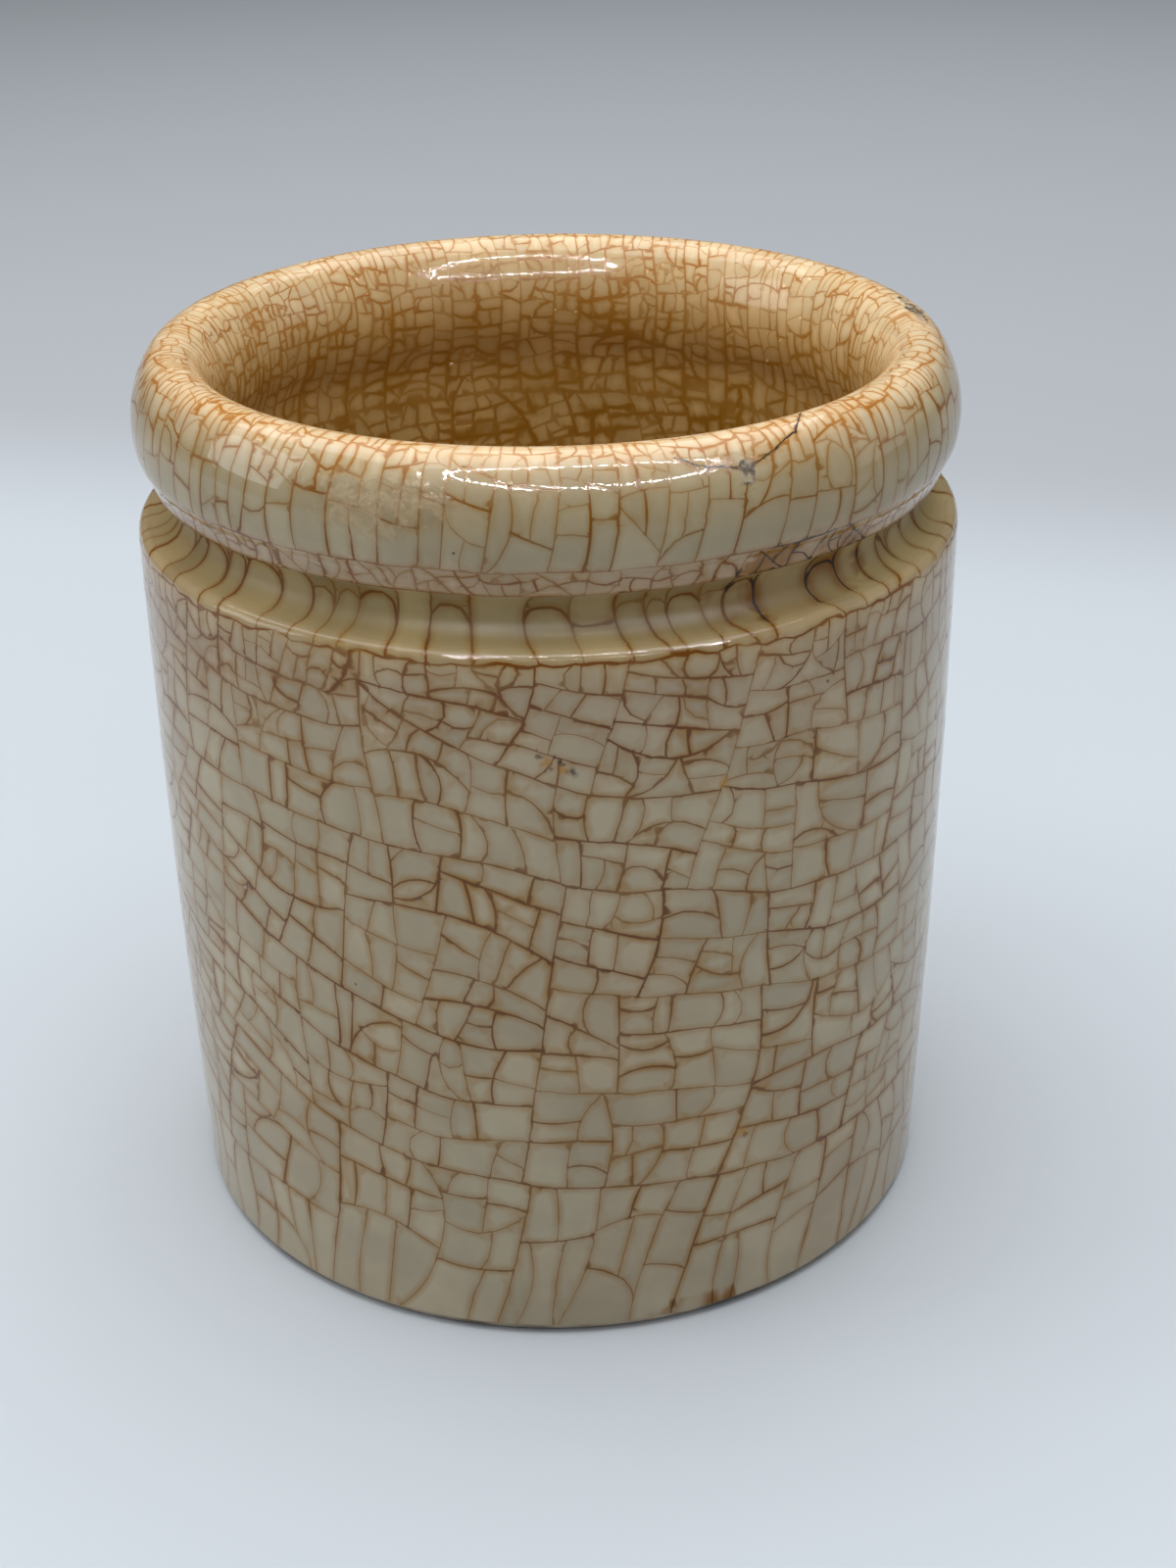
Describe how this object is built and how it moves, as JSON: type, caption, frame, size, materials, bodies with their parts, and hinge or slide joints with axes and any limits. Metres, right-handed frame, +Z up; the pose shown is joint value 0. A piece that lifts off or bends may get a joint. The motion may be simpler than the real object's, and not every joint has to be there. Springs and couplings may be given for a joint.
{
  "type": "stoneware pot",
  "caption": "Straight-sided stoneware storage pot with a thick rolled rim, a string groove under it for tying on a cover, and a crazed cream glaze.",
  "frame": {"origin": "middle of the foot, on the surface that the pot stands on", "axes": "+Z up along the pot's axis; the pot is round, so +X and +Y are free, and -Y faces the picture's camera"},
  "size_m": [0.084, 0.084, 0.0941],
  "materials": {
    "clay": "bare fired clay, dry and slightly sandy",
    "cream_glaze": "glossy cream glaze, crazed all over, with brown-stained cracks",
    "stained_glaze": "glossy cream glaze, crazed and stained tan and orange-brown"
  },
  "bodies": {
    "root": {"clay_body": "clay", "outer_glaze": "cream_glaze", "inner_glaze": "stained_glaze", "base_glaze": "cream_glaze"}
  },
  "joints": []
}
